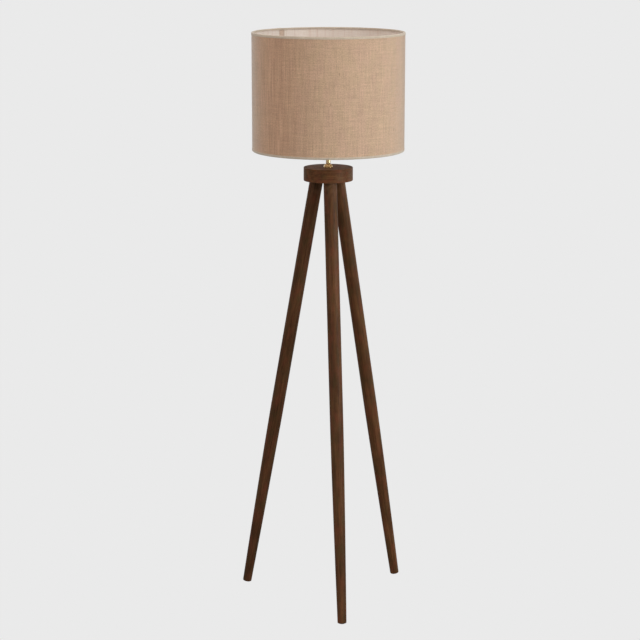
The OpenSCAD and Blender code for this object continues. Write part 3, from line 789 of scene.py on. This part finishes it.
def make_bushing():
    """The flanged bushing that lets the cord out of the pipe."""
    low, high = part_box("cord_bushing")
    flange = 2.2 * MM
    sleeve_r = PIPE_BORE_R - 0.05 * MM
    outline = rounded([
        (CORD_HOLE_R, high.z, 0.2 * MM), (CORD_HOLE_R, low.z, 1.2 * MM), (high.x, low.z, 0.9 * MM),
        (high.x, low.z + flange, 0.4 * MM), (sleeve_r, low.z + flange), (sleeve_r, high.z, 0.3 * MM),
    ], steps=5)
    dress("cord_bushing", lathe(outline, 64))


# ---- Lamp holder and switch ----

def make_cup():
    """The holder's spun cup, with a rolled bead round its mouth."""
    low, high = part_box("holder_cup")
    bore, wall, mouth = PIPE_R + 0.05 * MM, 0.8 * MM, high.x
    hub_r, hub_z = 7.2 * MM, low.z + 7 * MM
    outline = rounded([
        (bore, low.z), (hub_r, low.z, 0.5 * MM), (hub_r, hub_z, 0.5 * MM),
        (mouth, hub_z + 0.4 * MM, 6 * MM), (mouth, high.z - 2.4 * MM, 0.5 * MM),
        (mouth + 0.3 * MM, high.z - 1.4 * MM, 0.5 * MM), (mouth, high.z, 0.4 * MM),
        (mouth - wall, high.z, 0.3 * MM), (mouth - wall, hub_z + 1.3 * MM, 6 * MM),
        (bore, hub_z + 1.6 * MM),
    ], steps=6)
    dress("holder_cup", lathe(outline, 96))


def make_cup_screw():
    """The slotted set screw in the cup's hub."""
    low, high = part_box("cup_screw")
    head_r, head_h, shank_r = (high.y - low.y) / 2, 1.7 * MM, 1.5 * MM
    under = low.x + head_h
    outline = rounded([
        (0, 0), (shank_r, 0), (shank_r, high.x - under), (head_r, high.x - under, 0.2 * MM),
        (head_r, high.x - low.x, 0.6 * MM), (0, high.x - low.x),
    ])
    slot = bmesh.new()
    bmesh.ops.create_cube(slot, size=1.0)
    bmesh.ops.scale(slot, vec=(4 * head_r, 0.6 * MM, 1.6 * MM), verts=slot.verts)
    bmesh.ops.translate(slot, vec=(0, 0, high.x - low.x), verts=slot.verts)
    screw = cut(lathe(outline, 48), slot)
    place = Matrix.Translation((high.x, 0, (low.z + high.z) / 2))
    dress("cup_screw", screw, place @ Matrix.Rotation(radians(-90), 4, "Y"))


def make_shell():
    """The holder's outer shell, with the rings' thread rolled into it and a hole for the switch."""
    low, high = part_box("holder_shell")
    crest = high.x
    plain, wall = crest - 1.2 * MM, 0.6 * MM
    thread_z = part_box("seat_ring")[0].z - 2 * MM
    root = crest - RING_THREAD_H
    outside = [(plain, low.z), (plain, thread_z, 0.5 * MM), (root, thread_z + 0.6 * MM)]
    outside = rounded(outside)
    outside += [(crest, z) for z in levels(thread_z + 0.7 * MM, high.z - 2 * MM, RING_PITCH / 10)]
    outside += rounded([(root, high.z - 1.9 * MM), (plain, high.z - 1.3 * MM, 0.4 * MM),
                        (plain, high.z, 0.5 * MM), (plain - wall, high.z)])
    outline = outside + [(plain - wall, low.z)]
    thread = screw_thread(RING_PITCH, root, crest, thread_z + 0.65 * MM, high.z - 1.95 * MM, 1.6)
    hole_r, reach = 3.6 * MM, 30 * MM
    hole = lathe([(0, 0), (hole_r, 0), (hole_r, reach), (0, reach)], 48)
    hole.transform(switch_frame)
    dress("holder_shell", cut(lathe(outline, 120, shape=thread), hole))


def make_rings():
    """What runs on the thread: the lower ring, the fibre washer and the knurled ring."""
    bore = holder_r + 0.05 * MM
    make_ring("seat_ring", bore, (0.3, 0.7, 0.5, 0.3))
    make_ring("ring_washer", bore + 0.25 * MM, (0.15, 0.15, 0.15, 0.15), steps=2)

    low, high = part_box("shade_ring")
    rim, bore, edge, recess = max(high.x, high.y), bore + 0.03 * MM, 1.5 * MM, 0.5 * MM
    outline = rounded([
        (bore, low.z, 0.3 * MM), (rim, low.z, 0.5 * MM), (rim, low.z + edge), (rim, high.z - edge),
        (rim, high.z, 0.9 * MM), (rim - 2.2 * MM, high.z, 0.3 * MM),
        (rim - 2.7 * MM, high.z - recess, 0.3 * MM), (bore, high.z - recess, 0.3 * MM),
    ])
    knurl = scallops(24, rim, 0.7 * MM, 1.4 * MM, low.z, rim - edge)
    dress("shade_ring", lathe(outline, 240, shape=knurl))


def scallops(count, rim, out, radius, above, beyond):
    """A shape() for lathe that sinks round grooves into a rim, above one height and beyond one radius."""
    def shape(angle, r, z):
        if r < beyond or z < above:
            return r, z
        off = (angle * count / TURN + 0.5) % 1 - 0.5
        across = off * TURN / count * rim
        inside = radius ** 2 - across ** 2
        if inside <= 0:
            return r, z
        return min(r, rim + out - math.sqrt(inside)), z
    return shape


def make_switch():
    """The switch's shaft, with its flat, and the fluted knob on it."""
    low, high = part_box("switch_shaft")
    shaft_r, flat = (high.y - low.y) / 2, 1.2 * MM
    knob_low, knob_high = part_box("switch_knob")

    def flatted(angle, r, z):
        if z < knob_low.x or cos(angle) * r <= flat:
            return r, z
        return flat / cos(angle), z

    outline = rounded([
        (0, low.x), (shaft_r, low.x, 0.2 * MM), (shaft_r, knob_low.x - 0.1 * MM),
        (shaft_r, knob_low.x + 0.1 * MM), (shaft_r, high.x, 0.3 * MM), (0, high.x),
    ])
    dress("switch_shaft", lathe(outline, 48, shape=flatted), switch_frame)

    r = (knob_high.y - knob_low.y) / 2
    length, base = knob_high.x - knob_low.x, 2.5 * MM
    bore, bore_depth = shaft_r + 0.05 * MM, 10 * MM
    outline = rounded([
        (0, bore_depth), (bore, bore_depth), (bore, 0), (0.72 * r, 0, 0.3 * MM), (r, base, 0.4 * MM),
        (r, length - 2.4 * MM), (r, length, 2.2 * MM), (0.45 * r, length - 0.5 * MM, 0.8 * MM),
        (0, length - 0.7 * MM),
    ], steps=6)
    flutes = scallops(10, r, 0.5 * MM, 1.3 * MM, base * 0.8, 0.8 * r)
    knob = lathe(outline, 160, shape=flutes)
    dress("switch_knob", knob, Matrix.Translation((knob_low.x, 0, 0)) @ switch_frame)


# ---- Bulb ----

def make_bulb_tip():
    """The bulb's solder tip and the black glass round it."""
    low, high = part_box("bulb_contact")
    tip = high.x
    outline = [(0, high.z), (tip * 0.97, high.z)]
    outline += [(tip * cos(radians(a)), high.z - (high.z - low.z) * sin(radians(a)))
                for a in range(10, 81, 10)] + [(0, low.z)]
    dress("bulb_contact", lathe(outline, 48))

    low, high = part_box("bulb_insulator")
    dress("bulb_insulator", lathe(rounded([
        (0, low.z), (5 * MM, low.z, 0.5 * MM), (high.x, high.z, 0.4 * MM), (0, high.z),
    ]), 64))


def make_bulb_cap():
    """The bulb's screw cap, with its rolled thread and the dents that hold it to the housing."""
    low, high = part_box("bulb_screw_cap")
    crest, start = high.x, low.z + 2 * MM
    thread_top = start + 3.5 * BULB_PITCH
    outline = rounded([(0, low.z), (10.6 * MM, low.z, 0.5 * MM), (BULB_ROOT_R, start - 0.3 * MM, 0.5 * MM),
                       (BULB_ROOT_R, start)])
    outline += [(crest, z) for z in levels(start + 0.01 * MM, thread_top, BULB_PITCH / 16)]
    end = [(crest, thread_top + 0.2 * MM), (crest, high.z, 0.3 * MM), (0, high.z)]
    outline += rounded(end)
    thread = screw_thread(BULB_PITCH, BULB_ROOT_R, crest, start, thread_top)
    band, dents, dent_r, dent_depth = (thread_top + high.z) / 2, 6, 0.7 * MM, 0.4 * MM

    def staked(angle, r, z):
        r, z = thread(angle, r, z)
        across = ((angle * dents / TURN + 0.5) % 1 - 0.5) * TURN / dents * crest
        dent = exp(-(across ** 2 + (z - band) ** 2) / dent_r ** 2)
        return (r - dent_depth * dent if r > BULB_ROOT_R * 0.99 else r), z

    dress("bulb_screw_cap", lathe(outline, 96, shape=staked))


def make_bulb_globe():
    """The flared housing of the bulb's driver, and the hollow opal globe on it."""
    low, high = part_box("bulb_collar")
    foot, rim = 13.4 * MM, high.x
    side = [(foot + (rim - foot) * t ** 1.35, low.z + 1 * MM + (high.z - low.z - 1.6 * MM) * t)
            for t in (i / 14 for i in range(15))]
    outline = [(0, low.z), (foot - 0.3 * MM, low.z), (foot, low.z + 0.3 * MM)] + side
    outline += [(rim, high.z - 0.3 * MM), (rim - 0.5 * MM, high.z), (0, high.z)]
    dress("bulb_collar", lathe(outline, 96))

    low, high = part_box("bulb_globe")
    globe_r, wall = high.x, 1.2 * MM
    centre = high.z - globe_r
    start_angle = math.asin(max(-1.0, (low.z - centre) / globe_r))
    turns = 36
    angles = [start_angle + (math.pi / 2 - start_angle) * i / turns for i in range(turns)]

    def arc(r):
        return [(r * cos(a), centre + r * sin(a)) for a in angles]

    outline = arc(globe_r) + [(0, high.z), (0, high.z - wall)] + arc(globe_r - wall)[::-1]
    dress("bulb_globe", lathe(outline, 96))


# ---- Shade ----

def strip(path, thick, start, length, radius, overlap=0.0, steps=360, wander=0.0, seed=0.0, notch=None):
    """A strip of cloth or tape bent round the lamp's axis. path is its section's middle line, as (r, z)
    points, length is how far it runs round at that radius, and overlap is how much of its end lies over
    its start. notch(angle, point) is true where the strip is cut away. Its stored grain is (around,
    along the section, through)."""
    bm = bmesh.new()
    layer = bm.verts.layers.float_vector.new("grain")
    points = [Vector(p) for p in path]
    count = len(points)
    normals = []
    along = [0.0]
    for i, point in enumerate(points):
        ahead = (points[min(i + 1, count - 1)] - points[max(i - 1, 0)]).normalized()
        normals.append(Vector((ahead.y, -ahead.x)))
        if i:
            along.append(along[-1] + (point - points[i - 1]).length)
    rings = []
    for k in range(steps + 1):
        around = (length + overlap) * k / steps
        angle = start + around / radius
        lift = thick * 1.05 * ease((around - length + overlap * 0.6) / (overlap * 0.6)) if overlap else 0.0
        here = []
        for i, point in enumerate(points):
            spot = Vector((around * 60, along[i] * 90, seed))
            push = lift + wander * noise.noise(spot)
            for side in (0.5, -0.5):
                r, z = point + normals[i] * (push + side * thick)
                vert = bm.verts.new((r * cos(angle), r * sin(angle), z))
                vert[layer] = (around, along[i], side * thick)
                here.append(vert)
        rings.append(here)

    def there(k, i):
        if not (0 <= k < steps and 0 <= i < count - 1):
            return False
        angle = start + (length + overlap) * (k + 0.5) / steps / radius
        return not (notch and notch(angle, (points[i] + points[i + 1]) / 2))

    for k, (low, high) in enumerate(zip(rings, rings[1:])):
        for i in range(count - 1):
            if not there(k, i):
                continue
            a = 2 * i
            bm.faces.new((low[a], high[a], high[a + 2], low[a + 2]))
            bm.faces.new((low[a + 1], low[a + 3], high[a + 3], high[a + 1]))
            if not there(k, i - 1):
                bm.faces.new((low[a], low[a + 1], high[a + 1], high[a]))
            if not there(k, i + 1):
                bm.faces.new((low[a + 2], high[a + 2], high[a + 3], low[a + 3]))
            if not there(k - 1, i):
                bm.faces.new((low[a], low[a + 2], low[a + 3], low[a + 1]))
            if not there(k + 1, i):
                bm.faces.new((high[a], high[a + 1], high[a + 3], high[a + 2]))
    bmesh.ops.delete(bm, geom=[v for v in bm.verts if not v.link_faces], context="VERTS")
    bmesh.ops.recalc_face_normals(bm, faces=bm.faces)
    return bm


def make_cloth():
    """The shade's cloth, wrapped round with its end glued over its start, its lining and its seam tape."""
    low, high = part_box("shade_fabric")
    middle = high.x - CLOTH_T / 2
    girth = TURN * middle
    start = SEAM_DIR - CLOTH_OVERLAP / 2 / middle
    path = [(middle, z) for z in levels(low.z + RIM_ROLL, high.z - RIM_ROLL, 6 * MM)]
    sheet = strip(path, CLOTH_T, start, girth, middle, CLOTH_OVERLAP, 420, 0.15 * MM, 3.0)
    cloth = dress("shade_fabric", sheet)

    low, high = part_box("shade_liner")
    middle = high.x - LINER_T / 2
    length = TURN * middle - 0.3 * MM
    path = [(middle, z) for z in levels(low.z + RIM_ROLL, high.z - RIM_ROLL, 12 * MM)]
    dress("shade_liner", strip(path, LINER_T, SEAM_DIR, length, middle, 0.0, 300, 0.05 * MM, 5.0))

    low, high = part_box("shade_seam_tape")
    middle = liner_in - 0.05 * MM - TAPE_T / 2
    start = SEAM_DIR - SEAM_TAPE_W / 2 / middle
    path = [(middle, z) for z in levels(low.z, high.z, 6 * MM)]
    tape = strip(path, TAPE_T, start, SEAM_TAPE_W, middle, 0.0, 8, 0.06 * MM, 8.0)
    return cloth, girth, dress("shade_seam_tape", tape)


def trim_path(edge_z, up):
    """The middle line of the tape on a rim: from the outside's free edge, over the rim and round the hoop.
    up is 1 on the lower rim and -1 on the upper one."""
    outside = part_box("shade_fabric")[1].x + 0.05 * MM + TAPE_T / 2
    hug = HOOP_WIRE_R + 0.05 * MM + TAPE_T / 2
    corner = 2.2 * MM
    points = [(outside, y * MM) for y in (6.0, 5.0, 4.0, 3.0, 2.4)]
    for i in range(1, 7):
        a = radians(15 * i)
        points.append((outside - corner + corner * cos(a), corner - 0.3 * MM - corner * sin(a)))
    centre_z = hug - 0.3 * MM
    for i in range(10):
        a = radians(90 + 10 * i)
        points.append((hoop_r + hug * cos(a), centre_z - hug * sin(a)))
    points += [(hoop_r - hug, centre_z + rise * MM) for rise in (0.9, 1.8)]
    return [(r, edge_z + up * z) for r, z in points]


def make_trims():
    """The tapes folded over both rims. The lower one is slotted where the arms meet the hoop."""
    low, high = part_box("shade_fabric")
    radius = high.x
    start = SEAM_DIR + 0.03

    def at_arm(angle, point):
        offs = [(angle - radians(d) + math.pi) % TURN - math.pi for d in ARM_DIRS]
        return point.x < hoop_r - 0.4 * MM and min(abs(off) for off in offs) * hoop_r < ARM_NOTCH / 2

    def folded(node, path, seed, notch=None):
        tape = strip(path, TAPE_T, start, TURN * radius, radius, TAPE_OVERLAP, 480, 0.12 * MM, seed, notch)
        return dress(node, tape)

    return [
        folded("shade_bottom_trim", trim_path(low.z, 1)[::-1], 11.0, at_arm),
        folded("shade_top_trim", trim_path(high.z, -1), 17.0),
    ]


def make_wires():
    """The two wire hoops and the fitter ring."""
    sides = 48
    angles = [TURN * i / sides for i in range(sides)]
    section = [(hoop_r + HOOP_WIRE_R * cos(a), HOOP_WIRE_R * sin(a)) for a in angles]
    for node in ("shade_top_wire", "shade_bottom_wire"):
        low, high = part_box(node)
        middle = (low.z + high.z) / 2
        dress(node, lathe([(r, middle + z) for r, z in section], 240))

    make_ring("shade_fitter_ring", holder_r + 0.6 * MM, (0.3, 0.4, 0.4, 0.3))


def make_arms():
    """The three arms from the fitter ring to the lower hoop, thicker where they are welded."""
    low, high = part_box("shade_fitter_ring")
    ring_z = (low.z + high.z) / 2
    hoop_z = sum(corner.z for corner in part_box("shade_bottom_wire")) / 2
    inner = high.x - 0.6 * MM
    outer = hoop_r - HOOP_WIRE_R + 0.3 * MM
    weld_len, inner_weld, outer_weld = 3 * MM, 0.5 * MM, 0.9 * MM
    steps = 60
    arms = []
    for direction in ARM_DIRS:
        out = Vector((cos(radians(direction)), sin(radians(direction)), 0))
        points, radii = [], []
        for i in range(steps + 1):
            t = i / steps
            run = (outer - inner) * t
            points.append(out * (inner + run) + Vector((0, 0, ring_z + (hoop_z - ring_z) * t)))
            left = outer - inner - run
            weld = inner_weld * exp(-(run / weld_len) ** 2) + outer_weld * exp(-(left / weld_len) ** 2)
            radii.append(HOOP_WIRE_R + weld)
        arms.append(tube_along(points, radii))
    dress("shade_arms", merged(arms))


# ---- The pieces ----

for number, (node, direction) in enumerate(LEG_DIRS.items()):
    make_leg(node, direction, number)
make_glides()
make_block()
make_neck()
make_pipe()
make_washers()
make_nut()
make_bushing()
make_cup()
make_cup_screw()
make_shell()
make_rings()
make_switch()
make_bulb_tip()
make_bulb_cap()
make_bulb_globe()
cloth, girth, seam_tape = make_cloth()
trims = make_trims()
make_wires()
make_arms()

for node, holder in frame["nodes"].items():
    if not holder.hide_render:
        holder.data.materials.clear()
        holder.data.materials.append(MATERIALS[SLOT_OF[node]])


# ---- Floor, lights and camera ----

def make_floor():
    """A plain pale floor, evenly bright and open from below."""
    half_size, drop = 90.0, 0.05 * MM
    bm = bmesh.new()
    bmesh.ops.create_grid(bm, x_segments=2, y_segments=2, size=half_size)
    floor = as_object(bm, "floor")
    floor.location.z = -drop
    material = bpy.data.materials.new("pale_floor")
    g = Graph(material)
    g.tree.nodes.clear()
    glow = g.add("Emission", {"Color": BACKDROP}).outputs[0]
    open_below = g.add("BsdfTransparent").outputs[0]
    below = g.add("NewGeometry").outputs["Backfacing"]
    sided = g.add("MixShader", {0: below, 1: glow, 2: open_below})
    g.add("OutputMaterial", {"Surface": sided.outputs[0]})
    floor.data.materials.append(material)
    floor.visible_diffuse = False
    floor.visible_glossy = False
    floor.visible_shadow = False


def make_world():
    """Soft light, more from above than from below. The camera sees a tone as pale as the floor's."""
    world = bpy.data.worlds.new("studio")
    SCENE.world = world
    g = Graph(world)
    g.tree.nodes.clear()
    upwards = g.parts(g.add("TexCoord").outputs["Generated"])["Z"]
    strength = g.span(upwards, -1.0, 1.0, AMBIENT_LOW, AMBIENT_TOP)
    ambient = g.add("Background", {"Color": (1.0, 0.98, 0.96, 1), "Strength": strength}).outputs[0]
    seen = g.add("Background", {"Color": BACKDROP}).outputs[0]
    camera_ray = g.add("LightPath").outputs["Is Camera Ray"]
    mixed = g.add("MixShader", {0: camera_ray, 1: ambient, 2: seen})
    g.add("OutputWorld", {"Surface": mixed.outputs[0]})


def make_lamp(name, azimuth, height, distance, size, power, colour=(1, 1, 1)):
    """A soft box that faces the lamp."""
    light = bpy.data.lights.new(name, "AREA")
    light.shape = "RECTANGLE"
    light.size, light.size_y = size
    light.energy = power
    light.color = colour
    lamp = bpy.data.objects.new(name, light)
    turn = radians(azimuth)
    lamp.location = (distance * sin(turn), -distance * cos(turn), height)
    aim = Vector((0, 0, 0.85)) - Vector(lamp.location)
    lamp.rotation_euler = aim.to_track_quat("-Z", "Y").to_euler()
    lamp.visible_camera = False
    SCENE.collection.objects.link(lamp)


def make_camera():
    """The camera, level from side to side, that looks down at the lamp from the viewing angle."""
    data = bpy.data.cameras.new("camera")
    data.lens = CAMERA_LENS
    data.sensor_width = 36
    camera = bpy.data.objects.new("camera", data)
    across = Vector((cos(VIEW_AZIMUTH), sin(VIEW_AZIMUTH), 0))
    back = Vector((sin(VIEW_AZIMUTH), -cos(VIEW_AZIMUTH), 0))
    camera.location = back * CAMERA_DISTANCE + across * CAMERA_SIDE + Vector((0, 0, CAMERA_HEIGHT))
    camera.rotation_euler = (radians(90) - VIEW_DROP, 0, VIEW_AZIMUTH)
    SCENE.collection.objects.link(camera)
    SCENE.camera = camera


make_floor()
make_world()
make_lamp("key_light", 52, 1.7, 3.2, (1.4, 2.6), 72, (0.92, 0.98, 1.0))
make_lamp("fill_light", -48, 2.3, 3.4, (1.8, 2.4), 24, (1.0, 0.94, 0.88))
make_lamp("top_light", -70, 4.6, 2.4, (1.4, 1.4), 10, (1.0, 0.98, 0.95))
make_lamp("rim_light_left", -160, 2.2, 3.2, (1.0, 2.4), 19, (0.92, 0.97, 1.0))
make_lamp("rim_light_right", 118, 1.6, 3.2, (1.0, 2.4), 12, (0.88, 0.96, 1.0))
make_camera()
SCENE.view_settings.view_transform = "Standard"
